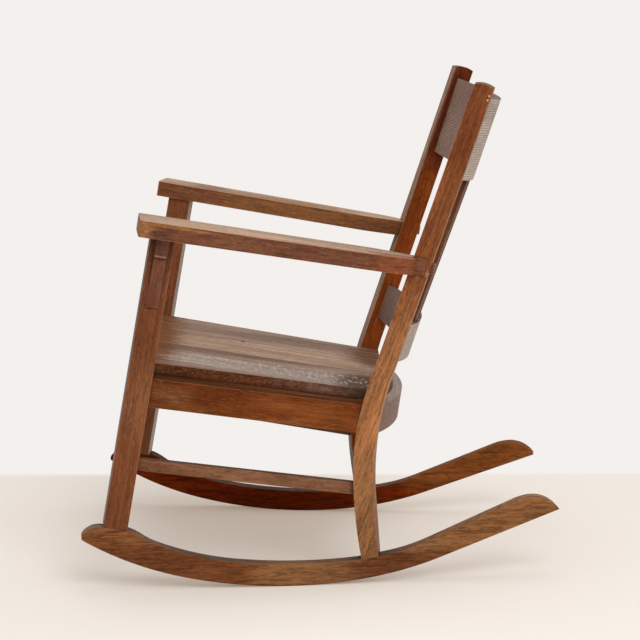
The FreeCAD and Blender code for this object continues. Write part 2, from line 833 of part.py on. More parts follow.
# Front seat rail, between the legs
legAtSeat = behindLeg(ZERO)[0] - legHalf
frontRailReach = legAtSeat * cosine(splay) - size("leg_thickness") * sine(splay)
frontRailTop = seatUnderside - tangent(size("seat_pitch_angle")) * frontRailReach
frontRailMiddle = frontRailTop - size("front_rail_depth") / 2


def frontRailAt(z):
    """Where the front rail's middle is at a height, in line with the legs' axes."""
    return legAxisAt(z) * cosine(splay) - size("leg_thickness") * sine(splay)


frontRailHalf = size("front_rail_thickness") / 2
frontRailLow = frontRailTop - size("front_rail_depth")
frontRailHigh = frontRailTop + size("rail_margin")
frontRailSpan = (
    size("side_spread") + tangent(splay) * size("leg_foot_reach") - size("leg_thickness"))
frontRailSteps = [
    ("from", frontRailAt(frontRailLow) - frontRailHalf, frontRailLow),
    ("line", frontRailAt(frontRailLow) + frontRailHalf, frontRailLow),
    ("line", frontRailAt(frontRailHigh) + frontRailHalf, frontRailHigh),
    ("line", frontRailAt(frontRailHigh) - frontRailHalf, frontRailHigh),
]
frontRailBlank = pad(
    "front_rail_blank", "YZ_Plane", frontRailSteps, frontRailSpan * 2, place(), -frontRailSpan)
frontRailTrimmed = cut("front_rail", frontRailBlank, seatVoid, legBlank, legTwin)
frontRailTenon, legFrontMortise = tenonPair(
    "front_rail",
    chain(side,
          place(-size("leg_thickness"), legAxisAt(frontRailMiddle), frontRailMiddle,
                "X", -size("leg_lean_angle")),
          place(axis="Y", angle=asSize(QUARTER_TURN))),
    size("front_rail_depth") - size("rail_tenon_shoulder") * 2,
    size("rail_tenon_thickness"), size("rail_tenon_length"))
frontRail = fuse(
    "front_rail", frontRailTrimmed, frontRailTenon, mirrored("front_rail_twin", frontRailTenon))

# Bowed rails between the posts
underSeat = -size("seat_thickness")
rearRailTop = underSeat - size("rear_rail_drop")
rearRail, rearRailVoids = makeBowedRail(
    "rear_rail", seat, "rear_rail", rearRailTop - size("rear_rail_depth"), rearRailTop,
    (postBlank, postTwin), (size("rear_rail_thickness") - size("rail_tenon_thickness")) / 2)
crestTop = size("post_height") / cosine(size("back_rake_angle")) - size("crest_drop")
crestBase = crestTop - size("crest_height")
crest, crestVoids = makeBowedRail(
    "crest", back, "crest", crestBase, crestTop,
    (postBlank, postTwin), size("bow_face_shoulder"))
lowerTop = size("lower_rail_base") + size("lower_rail_height")
lowerRail, lowerRailVoids = makeBowedRail(
    "lower_rail", back, "lower_rail", size("lower_rail_base"), lowerTop,
    (postBlank, postTwin), size("bow_face_shoulder"))

# Slats of the back, housed in the crest and in the lower rail
slats = []
crestMortises = []
lowerMortises = []
slatHalf = size("slat_width") / 2
slatHalfThickness = size("slat_thickness") / 2
clearance = size("tenon_clearance")
meanRadius = (size("crest_half_span") * size("crest_half_span")) / (size("crest_bow") * 2)
for number in range(BACK_SLATS):
    across = size("slat_spacing") * (number - (BACK_SLATS - 1) / 2)
    foot = bowAt("lower_rail", across)
    head = bowAt("crest", across)
    rise = crestBase - lowerTop
    sagShare = across * across / (size("crest_half_span") * size("crest_half_span"))
    belly = size("crest_belly") * (1 - sagShare.value) if across.value else size("crest_belly")
    lean = Size(
        math.degrees(math.atan((head.value - foot.value) / rise.value)),
        f"atan(({head.formula} - {foot.formula}) / {rise.formula}) / 1 deg")
    twist = Size(
        math.degrees(math.asin(across.value / meanRadius.value)),
        f"asin({across.formula} / ({meanRadius.formula})) / 1 deg")
    spot = chain(
        back,
        place(across, foot - size("slat_forward"), lowerTop, "X", -lean),
        place(axis="Z", angle=-twist))
    housing = size("slat_housing")
    top = rise + housing - belly
    slats.append(box(
        f"slat_{number + 1}", spot, (-slatHalf, slatHalf),
        (-slatHalfThickness, slatHalfThickness), (-housing, top)))
    sides = (-slatHalf - clearance, slatHalf + clearance)
    faces = (-slatHalfThickness - clearance, slatHalfThickness + clearance)
    gap = size("mortise_gap")
    lowerMortises.append(box(
        f"slat_{number + 1}_foot_mortise", spot, sides, faces, (-housing - gap, rise / 2)))
    crestMortises.append(box(
        f"slat_{number + 1}_head_mortise", spot, sides, faces, (rise / 2, top + gap)))
lowerBackRail = cut("lower_back_rail", lowerRail, *lowerMortises)

# Arm: a board trimmed to the post, with a cheek let into its face and a tenon through it
housing = box(
    "arm_housing", post, (-size("arm_cheek_depth"), overrun),
    (ZERO, size("arm_cheek_reach")), (size("post_knee_height"), size("post_height")))
postCore = cut("post_core", postBlank, housing)
armBlank = pad("arm_blank", "XY_Plane", armOutline(), size("arm_thickness"), arm)
armMiddle = (
    armUnderside + size("arm_thickness") / 2 / cosine(size("arm_pitch_angle"))
    - size("post_setback") / cosine(splay) * tangent(size("arm_pitch_angle")))
shoulderV = postFaceAt(armMiddle, armSlope, "front") / cosine(size("arm_pitch_angle"))
rearV = postFaceAt(armMiddle, armSlope, "rear") / cosine(size("arm_pitch_angle"))
armTenonFrame = chain(post, place(ZERO, ZERO, armMiddle, "X", -size("arm_pitch_angle")))
tenonHalf = size("arm_tenon_height") / 2
tenonIn = -size("arm_tenon_inset") - size("arm_tenon_thickness")
armTenon = box(
    "arm_tenon", armTenonFrame, (tenonIn, -size("arm_tenon_inset")),
    (shoulderV - size("tenon_root") * 2, rearV + size("arm_tenon_proud")),
    (-tenonHalf, tenonHalf))
armMortise = box(
    "arm_mortise", armTenonFrame,
    (tenonIn - clearance, clearance - size("arm_tenon_inset")),
    (shoulderV - size("tenon_root") * 2, rearV + overrun),
    (-tenonHalf - clearance, tenonHalf + clearance))
besidePost = box(
    "beside_post",
    chain(post, place(ZERO, -size("post_knee_front"), size("post_knee_height"),
                      "X", -size("post_front_rake_angle"))),
    (-overrun * 2, ZERO - size("post_thickness")), (ZERO, overrun * 2),
    (ZERO, size("post_height")))
armTrimmed = cut("arm", armBlank, postCore, besidePost)
armBoard = fuse("arm", armTrimmed, armTenon)

# Leg: its foot tenon stands in the rocker and its top tenon in the arm
legFootSpot = chain(
    side,
    place(-size("rocker_thickness") / 2, -size("leg_foot_reach"), size("leg_foot_height"),
          "X", -size("leg_landing_angle")),
    place(axis="X", angle=asSize(HALF_TURN)))
legFoot, rockerLegMortise = tenonPair(
    "leg_foot", legFootSpot, size("leg_tenon_thickness"), size("leg_tenon_width"),
    size("leg_foot_tenon_length"))
legTopSpot = chain(
    arm, place(-size("leg_thickness") / 2, legTopY / cosine(size("arm_pitch_angle"))))
legTop, armLegMortise = tenonPair(
    "leg_top", legTopSpot, size("leg_tenon_width"), size("leg_tenon_width"),
    size("leg_top_tenon_length"))
legTrimmed = cut(
    "leg", cut("leg_top", legBlank, armVoid), legRailMortise, legStretcherMortise,
    legFrontMortise)
leg = fuse("leg", legTrimmed, legFoot, legTop)
armFinished = cut("arm_finished", armBoard, armLegMortise)

# Corbel under the arm, on the leg's outer face
corbelReach = size("corbel_reach")
coveHigh = -size("corbel_nose")
coveDeep = size("corbel_drop") - size("corbel_nose")
corbelSteps = [
    ("from", ZERO, -size("corbel_drop")),
    ("line", size("corbel_toe"), -size("corbel_drop")),
    ("bend", corbelReach * corbel_cove_shares[0], coveHigh - coveDeep * corbel_cove_shares[1],
     corbelReach * corbel_lip_share, coveHigh),
    ("line", corbelReach, coveHigh),
    ("line", corbelReach, overrun / 2),
    ("line", ZERO, overrun / 2),
]
legTopZ = armUnderside - armSlope * legTopY
corbelBlank = pad(
    "corbel_blank", "XZ_Plane", corbelSteps, size("corbel_width"),
    chain(side, place(ZERO, legTopY, legTopZ, "X", -size("leg_lean_angle"))),
    -size("corbel_width") / 2)
corbel = cut("corbel", corbelBlank, armVoid)

# Post: its foot is cut to the rocker's landing and tenoned into it
landing = chain(
    side,
    place(-size("rocker_thickness") / 2, postFootReach(), size("post_foot_height"),
          "X", size("post_landing_angle")))
floorVoid = box(
    "landing_void", landing, (-overrun, overrun), (-overrun, overrun), (-overrun, ZERO))
postFoot, rockerPostMortise = tenonPair(
    "post_foot", chain(landing, place(axis="X", angle=asSize(HALF_TURN))),
    size("post_foot_tenon_thickness"), size("post_foot_tenon_width"),
    size("post_foot_tenon_length"))
brads = []
bradVoids = []
for number in range(2):
    z = size("post_height") - size("brad_drop") - size("brad_spacing") * number
    edge = (z - size("post_knee_height")) * tangent(size("post_rear_rake_angle"))
    y = size("post_knee_rear") + edge - size("brad_edge_distance")
    spot = chain(
        post, place(ZERO, y, z, "Z", size("brad_toe_angle")),
        place(axis="Y", angle=asSize(-QUARTER_TURN)))
    radius = size("brad_size") / 2
    recess = size("brad_recess")
    brads.append(rod(f"brad_{number + 1}", spot, radius, recess, size("brad_length")))
    bradVoids.append(rod(
        f"brad_{number + 1}_hole", spot, radius + size("fastener_clearance"),
        -size("mortise_gap"), size("brad_length")))
crestBrads = gathered("crest_brads", brads + [
    mirrored(f"{brad.Name}_twin", brad) for brad in brads])
crestRail = cut(
    "crest_rail", crest, *crestMortises, *bradVoids,
    *[mirrored(f"{void.Name}_twin", void) for void in bradVoids])
postBody = cut(
    "post", postBlank, floorVoid, postRailMortise, postStretcherMortise, rearRailVoids,
    crestVoids, lowerRailVoids, armMortise, armTrimmed, *bradVoids)
postFinished = fuse("post", postBody, postFoot)
rocker = cut("rocker", rockerBlank, rockerLegMortise, rockerPostMortise)

# Seat boards, side by side, with the outer two cut along the sides
seatFront = (
    (frontRailReach - frontRailHalf - size("seat_front_overhang"))
    / cosine(size("seat_pitch_angle")))
seatRear = size("seat_rear_reach") / cosine(size("seat_pitch_angle"))
noseRound = size("seat_front_round")
noseShare = noseRound * corner_middle_share
boardSteps = [
    ("from", seatFront, underSeat),
    ("line", seatRear, underSeat),
    ("line", seatRear, ZERO),
    ("line", seatFront + noseRound, ZERO),
    ("bend", seatFront + noseShare, -noseShare, seatFront, -noseRound),
]
boardWidth = size("seat_board_width")
edgeVoid = box(
    "seat_edge_void", side, (-size("seat_inset"), wide), (-wide * 2, wide),
    (ZERO, size("post_height")))
edgeTwin = mirrored("seat_edge_void_twin", edgeVoid)
boards = []
for number in range(SEAT_BOARDS):
    name = f"board_{number + 1}"
    low = boardWidth * (number - SEAT_BOARDS / 2)
    high = boardWidth * (number + 1 - SEAT_BOARDS / 2)
    if number == 0:
        blank = pad(name, "YZ_Plane", boardSteps, high + wide, seat, -wide)
        boards.append(cut(name, blank, edgeTwin))
    elif number == SEAT_BOARDS - 1:
        blank = pad(name, "YZ_Plane", boardSteps, wide - low, seat, low)
        boards.append(cut(name, blank, edgeVoid))
    else:
        boards.append(pad(name, "YZ_Plane", boardSteps, high - low, seat, low))

parts["rocker_left"] = rocker
parts["front_leg_left"] = leg
parts["rear_post_left"] = postFinished
parts["arm_left"] = armFinished
parts["arm_corbel_left"] = corbel
parts["side_seat_rail_left"] = sideRail
parts["seat_cleat_left"] = cleat
parts["side_stretcher_left"] = stretcher
for name in list(parts):
    twin = name.replace("_left", "_right")
    parts[twin] = mirrored(f"{twin}_twin", parts[name])
parts["cleat_screws"] = cleatScrews
parts["crest_brads"] = crestBrads
parts["front_seat_rail"] = frontRail
parts["rear_seat_rail"] = rearRail
parts["crest_rail"] = crestRail
parts["lower_back_rail"] = lowerBackRail
for number, slat in enumerate(slats, start=1):
    parts[f"back_slat_{number}"] = slat
for number, board in enumerate(boards, start=1):
    parts[f"seat_board_{number}"] = board


def checkAndExport():
    """Check every object and sub-part, and write each sub-part to its own file."""
    doc.recompute()
    for item in doc.Objects:
        if "Invalid" in item.State or "Error" in item.State:
            raise RuntimeError(f"{item.Name} failed: {item.State}")
    os.makedirs("parts", exist_ok=True)
    for name, part in parts.items():
        part.Label = name
        shape = part.Shape
        if shape.isNull() or not shape.isValid() or not shape.Solids:
            raise RuntimeError(f"{name} has no valid solid")
        shape.exportStep(f"parts/{name}.step")
        print(f"{name}: {len(shape.Solids)} solid, {shape.Volume / 1000:.1f} cm3")


checkAndExport()
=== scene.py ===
import math

import bpy
from mathutils import Euler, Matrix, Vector


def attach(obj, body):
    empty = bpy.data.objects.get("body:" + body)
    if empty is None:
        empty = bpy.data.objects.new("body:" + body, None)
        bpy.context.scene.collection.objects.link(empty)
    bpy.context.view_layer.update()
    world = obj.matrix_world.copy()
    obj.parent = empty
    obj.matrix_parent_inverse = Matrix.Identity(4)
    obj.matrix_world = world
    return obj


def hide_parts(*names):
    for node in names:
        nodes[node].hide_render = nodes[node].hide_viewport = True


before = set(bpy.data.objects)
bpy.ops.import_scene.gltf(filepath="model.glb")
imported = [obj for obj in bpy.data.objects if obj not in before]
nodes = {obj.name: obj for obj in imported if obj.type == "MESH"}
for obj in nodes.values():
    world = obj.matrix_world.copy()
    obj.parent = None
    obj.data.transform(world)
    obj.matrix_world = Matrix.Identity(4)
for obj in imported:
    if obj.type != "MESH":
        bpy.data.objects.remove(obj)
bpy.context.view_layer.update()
print("stage 1: CAD frame loaded,", len(nodes), "nodes")


# helpers for node trees. A value that is a socket is linked, and any other is set

def feed(tree, socket, value):
    if isinstance(value, bpy.types.NodeSocket):
        tree.links.new(value, socket)
    else:
        socket.default_value = value


def addNode(tree, kind, inputs, **settings):
    node = tree.nodes.new(kind)
    for key, value in settings.items():
        setattr(node, key, value)
    for key, value in inputs.items():
        feed(tree, node.inputs[key], value)
    return node.outputs


def mathNode(tree, operation, first, second, clamp=False):
    return addNode(
        tree, "ShaderNodeMath", {0: first, 1: second}, operation=operation, use_clamp=clamp)[0]


def vectorNode(tree, operation, *values):
    return addNode(
        tree, "ShaderNodeVectorMath", dict(enumerate(values)), operation=operation)


def mixColours(tree, factor, first, second, blend="MIX"):
    # 6 and 7 are a Mix node's colour inputs, and 2 is its colour output
    return addNode(
        tree, "ShaderNodeMix", {0: factor, 6: first, 7: second}, data_type="RGBA",
        blend_type=blend)[2]


def ramp(tree, source, low, high):
    return addNode(
        tree, "ShaderNodeMapRange", {"Value": source, "From Min": low, "From Max": high},
        interpolation_type="SMOOTHSTEP")[0]


def noise(tree, vector, settings):
    return addNode(tree, "ShaderNodeTexNoise", {"Vector": vector, **settings})["Fac"]


def drawnNoise(tree, vector, settings, **more):
    # noise drawn out along the grain
    turn = settings.get("turn", (0.0, 0.0, 0.0))
    drawn = addNode(
        tree, "ShaderNodeMapping",
        {"Vector": vector, "Scale": settings["stretch"], "Rotation": turn})[0]
    return noise(tree, drawn, {**settings["noise"], **more})


def maskFrom(tree, group, inputs):
    return addNode(tree, "ShaderNodeGroup", inputs, node_tree=group)["Mask"]


def objectSpot(tree):
    return addNode(tree, "ShaderNodeTexCoord", {})["Object"]


def faceNormal(tree):
    return addNode(tree, "ShaderNodeNewGeometry", {})["Normal"]


def screenCurve(value):
    # the sRGB curve
    share = value / 255
    return share / 12.92 if share <= 0.04045 else ((share + 0.055) / 1.055) ** 2.4


def linear(red, green, blue):
    # colours are written as they look on a screen, 0 to 255
    return (screenCurve(red), screenCurve(green), screenCurve(blue), 1.0)


def newMaterial(name):
    material = bpy.data.materials.new(name)
    material.use_nodes = True
    tree = material.node_tree
    return material, tree, tree.nodes["Principled BSDF"].inputs


def newGroup(name, inputs, outputs):
    tree = bpy.data.node_groups.new(name, "ShaderNodeTree")
    for side, sockets in (("INPUT", inputs), ("OUTPUT", outputs)):
        for label, kind in sockets.items():
            tree.interface.new_socket(label, in_out=side, socket_type=f"NodeSocket{kind}")
    put = tree.nodes.new("NodeGroupInput").outputs
    target = tree.nodes.new("NodeGroupOutput").inputs
    return tree, put, target


def endMask(tree, target, mask, amount):
    feed(tree, target["Mask"], mathNode(tree, "MULTIPLY", mask, amount, clamp=True))


# shader groups: oak grain, worn edges, painted sheen and shade by facing, soft patches of stain
# and of painted light and shade, ray figure, and painted shade in corners

# group input: the name of its value in a look
grainShades = {"Dark": "dark", "Middle": "middle", "Light": "light"}
grainAmounts = {
    "Band Scale": "bandScale", "Bands": "bands", "Ring Scale": "ringScale",
    "Streaks": "streaks", "Pores": "pores", "Flecks": "flecks", "Mottle": "mottle",
    "Lines": "lines"}

# each layer has its noise and the range of it that becomes a mask
grainSettings = {
    "broad": {
        "stretch": (1, 1, 0.1), "pale": (0.48, 0.66), "deep": (0.46, 0.32),
        "noise": {"Detail": 3.0, "Roughness": 0.55, "Distortion": 0.5}},
    "rings": {
        "stretch": (1, 1, 0.03), "mask": (0.40, 0.66),
        "noise": {"Detail": 5.0, "Roughness": 0.68, "Distortion": 0.3}},
    "pores": {
        "stretch": (1, 1, 0.16), "mask": (0.52, 0.66),
        "noise": {"Scale": 400.0, "Detail": 3.0, "Roughness": 0.65, "Distortion": 0.2}},
    "flecks": {
        "stretch": (1, 1, 0.22), "turn": (0.2, 0.15, 0.0), "mask": (0.54, 0.68),
        "noise": {"Scale": 420.0, "Detail": 2.0, "Roughness": 0.6, "Distortion": 0.6}},
    "cloud": {
        "stretch": (1, 1, 0.5), "mask": (0.34, 0.66),
        "noise": {"Scale": 7.0, "Detail": 4.0, "Roughness": 0.6, "Distortion": 0.5}},
    "lines": {
        "mask": (0.40, 0.85),
        "wave": {"Scale": 71.0, "Distortion": 1.6, "Detail": 2.0, "Detail Scale": 0.4}},
    "surface": {"rough": 0.46, "ringRough": 0.12, "poreDepth": -0.8}}


def buildOakGrain(settings):
    tree, put, target = newGroup(
        "oakGrain",
        {"Vector": "Vector", **dict.fromkeys(grainShades, "Color"),
         **dict.fromkeys(grainAmounts, "Float")},
        {"Color": "Color", "Figure": "Float", "Roughness": "Float", "Height": "Float"})
    grain = put["Vector"]
    broad = drawnNoise(tree, grain, settings["broad"], Scale=put["Band Scale"])
    rings = drawnNoise(tree, grain, settings["rings"], Scale=put["Ring Scale"])
    masks = {"rings": ramp(tree, rings, *settings["rings"]["mask"])}
    for layer in ("pores", "flecks", "cloud"):
        layerNoise = drawnNoise(tree, grain, settings[layer])
        masks[layer] = ramp(tree, layerNoise, *settings[layer]["mask"])
    wave = addNode(
        tree, "ShaderNodeTexWave", {"Vector": grain, **settings["lines"]["wave"]},
        bands_direction="X")["Fac"]
    # each coat lies over those before it: mask, amount, shade
    coats = [
        (ramp(tree, broad, *settings["broad"]["pale"]), "Bands", "Light"),
        (ramp(tree, broad, *settings["broad"]["deep"]), "Bands", "Dark"),
        (masks["rings"], "Streaks", "Dark"),
        (masks["cloud"], "Mottle", "Dark"),
        (masks["flecks"], "Flecks", "Light"),
        (masks["pores"], "Pores", "Dark"),
        (ramp(tree, wave, *settings["lines"]["mask"]), "Lines", "Dark")]
    colour = put["Middle"]
    shares = {}
    for mask, amount, shade in coats:
        shares[amount] = mathNode(tree, "MULTIPLY", mask, put[amount])
        colour = mixColours(tree, shares[amount], colour, put[shade])
    feed(tree, target["Color"], colour)
    # how much lighter or darker the grain is than its middle colour
    own = addNode(tree, "ShaderNodeRGBToBW", {0: colour})[0]
    plain = addNode(tree, "ShaderNodeRGBToBW", {0: put["Middle"]})[0]
    feed(tree, target["Figure"], mathNode(tree, "DIVIDE", own, plain))
    surface = settings["surface"]
    rough = mathNode(tree, "MULTIPLY", masks["rings"], surface["ringRough"])
    feed(tree, target["Roughness"], mathNode(tree, "ADD", rough, surface["rough"]))
    height = mathNode(tree, "MULTIPLY", masks["pores"], surface["poreDepth"])
    feed(tree, target["Height"], mathNode(tree, "ADD", height, shares["Flecks"]))
    return tree


# the range of the bent normal that is an edge, and of the noise that is rubbed
wearSettings = {
    "samples": 6, "edge": (0.995, 0.86), "rubbed": (0.30, 0.62),
    "noise": {"Scale": 35.0, "Detail": 3.0, "Roughness": 0.6}}


def buildEdgeWear(settings):
    tree, put, target = newGroup(
        "edgeWear", {"Vector": "Vector", "Reach": "Float", "Amount": "Float"}, {"Mask": "Float"})
    bent = addNode(
        tree, "ShaderNodeBevel", {"Radius": put["Reach"]}, samples=settings["samples"])[0]
    turned = vectorNode(tree, "DOT_PRODUCT", bent, faceNormal(tree))["Value"]
    edge = ramp(tree, turned, *settings["edge"])
    rubbed = ramp(tree, noise(tree, put["Vector"], settings["noise"]), *settings["rubbed"])
    endMask(tree, target, mathNode(tree, "MULTIPLY", edge, rubbed), put["Amount"])
    return tree


# painted sheen and shade: faces turned towards an axis take a tint, paler for a painted sheen,
# darker for painted shade
def buildFacingLightAndShade(facing):
    tree, put, target = newGroup(
        "fadedFaces", {"Axis": "Vector", "Amount": "Float"}, {"Mask": "Float"})
    towards = vectorNode(tree, "DOT_PRODUCT", faceNormal(tree), put["Axis"])["Value"]
    endMask(tree, target, ramp(tree, towards, *facing), put["Amount"])
    return tree


# a patch fades out over this range of its reach, which noise makes ragged
softPatchSettings = {
    "edge": (1.25, 0.75), "ragged": 0.5, "noise": {"Scale": 60.0, "Detail": 3.0, "Roughness": 0.6}}


def buildSoftPatch(settings):
    tree, put, target = newGroup(
        "stain", {"Vector": "Vector", "Spot": "Vector", "Reach": "Vector", "Amount": "Float"},
        {"Mask": "Float"})
    apart = vectorNode(tree, "SUBTRACT", put["Vector"], put["Spot"])[0]
    shared = vectorNode(tree, "DIVIDE", apart, put["Reach"])[0]
    length = vectorNode(tree, "LENGTH", shared)["Value"]
    ragged = noise(tree, put["Vector"], settings["noise"])
    ragged = mathNode(tree, "MULTIPLY", ragged, settings["ragged"])
    edge = mathNode(tree, "ADD", length, ragged)
    endMask(tree, target, ramp(tree, edge, *settings["edge"]), put["Amount"])
    return tree


raySettings = {
    "fleck": (0.50, 0.70),
    "noise": {"Scale": 1.0, "Detail": 1.0, "Roughness": 0.4, "Distortion": 0.3}}


def buildRayFigure(settings):
    # short pale flecks that lie across the grain, inside a soft patch
    tree, put, target = newGroup(
        "rayFigure",
        {"Vector": "Vector", "Spot": "Vector", "Reach": "Vector", "Scale": "Vector",
         "Turn": "Vector", "Amount": "Float"},
        {"Mask": "Float"})
    area = maskFrom(
        tree, stain, {label: put[label] for label in ("Vector", "Spot", "Reach", "Amount")})
    turned = addNode(
        tree, "ShaderNodeMapping", {"Vector": put["Vector"], "Rotation": put["Turn"]})[0]
    spread = vectorNode(tree, "MULTIPLY", turned, put["Scale"])[0]
    fleck = ramp(tree, noise(tree, spread, settings["noise"]), *settings["fleck"])
    endMask(tree, target, fleck, area)
    return tree


# painted shade: ambient occlusion darkens the colour in corners, creases and between parts, where
# shade falls
def buildCornerShade(samples, corner):
    tree, put, target = newGroup(
        "grime", {"Reach": "Float", "Amount": "Float"}, {"Mask": "Float"})
    hidden = addNode(
        tree, "ShaderNodeAmbientOcclusion", {"Distance": put["Reach"]}, samples=samples)["AO"]
    endMask(tree, target, ramp(tree, hidden, *corner), put["Amount"])
    return tree


oakGrain = buildOakGrain(grainSettings)
edgeWear = buildEdgeWear(wearSettings)
fadedFaces = buildFacingLightAndShade(facing=(0.45, 0.85))
stain = buildSoftPatch(softPatchSettings)
rayFigure = buildRayFigure(raySettings)
grime = buildCornerShade(samples=8, corner=(0.82, 0.30))
print("stage 2: shader groups built")


def tinted(tree, colour, mask, tint, figure):
    # under the mask the wood turns to the tint, with the grain's own light and dark
    toned = mixColours(tree, 1.0, linear(*tint), figure, blend="MULTIPLY")
    return mixColours(tree, mask, colour, toned)


def inGrain(spot, turn, shift):
    # a place on the chair, in the turned and shifted frame of a piece's grain
    return Euler(turn).to_matrix().inverted() @ (Vector(spot) - Vector(shift))


# depth of the pores, in metres
bumpDistance = 0.0006


def oakMaterial(name, look, turn, shift):
    material, tree, shader = newMaterial(name)
    vector = addNode(
        tree, "ShaderNodeMapping",
        {"Vector": objectSpot(tree), "Location": shift, "Rotation": turn},
        vector_type="TEXTURE")[0]
    grain = addNode(
        tree, "ShaderNodeGroup",
        {"Vector": vector,
         **{label: linear(*look[key]) for label, key in grainShades.items()},
         **{label: look[key] for label, key in grainAmounts.items()}},
        node_tree=oakGrain)
    colour = grain["Color"]
    # painted sheen and shade, by which way a face turns
    for axis, amount, tint in look["faces"]:
        mask = maskFrom(tree, fadedFaces, {"Axis": axis, "Amount": amount})
        colour = tinted(tree, colour, mask, tint, grain["Figure"])
    # soft patches: some are stains, and some are painted light and shade, as each look notes
    for spot, reach, amount, tint in look["patches"]:
        mask = maskFrom(
            tree, stain,
            {"Vector": vector, "Spot": inGrain(spot, turn, shift), "Reach": reach,
             "Amount": amount})
        colour = tinted(tree, colour, mask, tint, grain["Figure"])
    for spot, reach, scale, rayTurn, amount, tint in look["rays"]:
        mask = maskFrom(
            tree, rayFigure,
            {"Vector": vector, "Spot": inGrain(spot, turn, shift), "Reach": reach,
             "Scale": scale, "Turn": rayTurn, "Amount": amount})
        colour = mixColours(tree, mask, colour, linear(*tint))
    mask = maskFrom(
        tree, edgeWear,
        {"Vector": vector, "Reach": look["wearReach"], "Amount": look["wear"]})
    colour = mixColours(tree, mask, colour, linear(*look["worn"]))
    # painted shade in corners and creases, darkened towards the look's dark tint
    mask = maskFrom(tree, grime, {"Reach": look["cornerShadeReach"], "Amount": look["grime"]})
    colour = mixColours(tree, mask, colour, linear(*look["cornerShadeColour"]))
    bump = addNode(
        tree, "ShaderNodeBump",
        {"Strength": look["relief"], "Distance": bumpDistance, "Height": grain["Height"]})[0]
    feed(tree, shader["Base Color"], colour)
    feed(tree, shader["Roughness"], grain["Roughness"])
    feed(tree, shader["Specular IOR Level"], look["shine"])
    feed(tree, shader["Normal"], bump)
    return material


# what every piece of the chair starts from. A face is (direction, amount, tint), a painted sheen
# or painted shade on the faces turned that way. A patch is (spot on the chair, reach across,
# through and along the grain, amount, tint), and a ray is (spot, reach, flecks to the metre on
# each axis, turn of the flecks, amount, tint)
oakLook = {
    "dark": (70, 32, 13), "middle": (120, 70, 40), "light": (160, 106, 66),
    "bandScale": 14.0, "bands": 0.35, "ringScale": 200.0, "streaks": 0.5, "pores": 0.45,
    "flecks": 0.3, "mottle": 0.35, "lines": 0.0, "shine": 0.12, "relief": 0.3,
    "worn": (176, 122, 82), "wear": 0.5, "wearReach": 0.003,
    # the dark tint, amount and reach of the painted shade in corners
    "cornerShadeColour": (40, 16, 5), "grime": 0.75, "cornerShadeReach": 0.014,
    "faces": [], "patches": [], "rays": []}

# the rockers' tops take a painted sheen
rockerLook = dict(
    oakLook, dark=(66, 30, 9), middle=(126, 71, 33), light=(166, 112, 66), streaks=0.75,
    flecks=0.16, faces=[((0, 0, 1), 0.9, (118, 90, 72))],
    patches=[((0.29, -0.03, 0.02), (0.1, 0.06, 0.12), 0.7, (160, 110, 66)),
            ((0.263, 0.179, 0.076), (0.1, 0.03, 0.07), 0.5, (164, 114, 70)),
            ((0.25, 0.33, 0.11), (0.1, 0.08, 0.25), 0.7, (160, 106, 60))])

# the far rocker's inner face is painted redder and darker, as painted shade under the seat,
# and its tail takes a lighter patch, painted light where that shade ends
farRockerLook = dict(
    rockerLook, shine=0.03, faces=[((1, 0, 0), 1.0, (122, 42, 5)), ((0, 0, 1), 0.9, (118, 90, 72))],
    patches=[((-0.22, 0.31, 0.1), (0.1, 0.09, 0.24), 0.9, (146, 84, 38))])

# the legs' front and rear faces take a painted sheen, paler on the rear
legLook = dict(
    oakLook, dark=(78, 36, 14), middle=(127, 71, 39), light=(170, 114, 72), pores=0.5, flecks=0.22,
    faces=[((0, -0.985, 0.17), 0.8, (140, 108, 86)), ((0, 0.985, -0.17), 0.95, (190, 166, 150))],
    patches=[((0.3165, -0.2956, 0.5004), (0.02, 0.011, 0.006), 0.9, (60, 32, 20)),
            ((0.30, -0.31, 0.33), (0.06, 0.05, 0.1), 0.6, (148, 94, 58)),
            ((0.30, -0.33, 0.2), (0.06, 0.05, 0.1), 0.6, (140, 80, 42))])

# the narrow dark patch just under the block's lip is a painted shadow, and the full corner
# darkening is painted shade in the cove; the pale line at the lip's edge is wear
corbelLook = dict(
    oakLook, dark=(70, 36, 24), middle=(118, 68, 44), light=(146, 98, 74), pores=0.3, flecks=0.2,
    wear=1.0, worn=(158, 108, 82), wearReach=0.002, grime=1.0, cornerShadeReach=0.01,
    patches=[((0.335, -0.28, 0.612), (0.04, 0.02, 0.024), 0.9, (100, 63, 48)),
            ((0.335, -0.277, 0.5845), (0.04, 0.02, 0.0045), 0.8, (66, 38, 26)),
            ((0.335, -0.278, 0.588), (0.04, 0.02, 0.0022), 0.9, (164, 114, 86))])

# the posts' front, rear and top faces take tints of painted sheen
postLook = dict(
    oakLook, dark=(74, 30, 9), middle=(139, 75, 36), light=(182, 117, 67), pores=0.6, flecks=0.22,
    streaks=0.6, worn=(190, 128, 84), wear=0.7, wearReach=0.0018,
    faces=[((0, 0.95, -0.3), 0.9, (176, 140, 112)), ((0, -0.95, 0.3), 0.85, (194, 148, 116)),
           ((0, -0.1, 0.99), 0.9, (120, 92, 76))],
    patches=[((0.276, 0.08, 0.2), (0.08, 0.3, 0.41), 0.9, (172, 113, 68)),
            ((0.273, 0.08, 0.1), (0.08, 0.3, 0.14), 0.5, (160, 110, 68)),
            ((0.291, 0.2, 0.65), (0.06, 0.08, 0.12), 0.7, (156, 90, 46))])

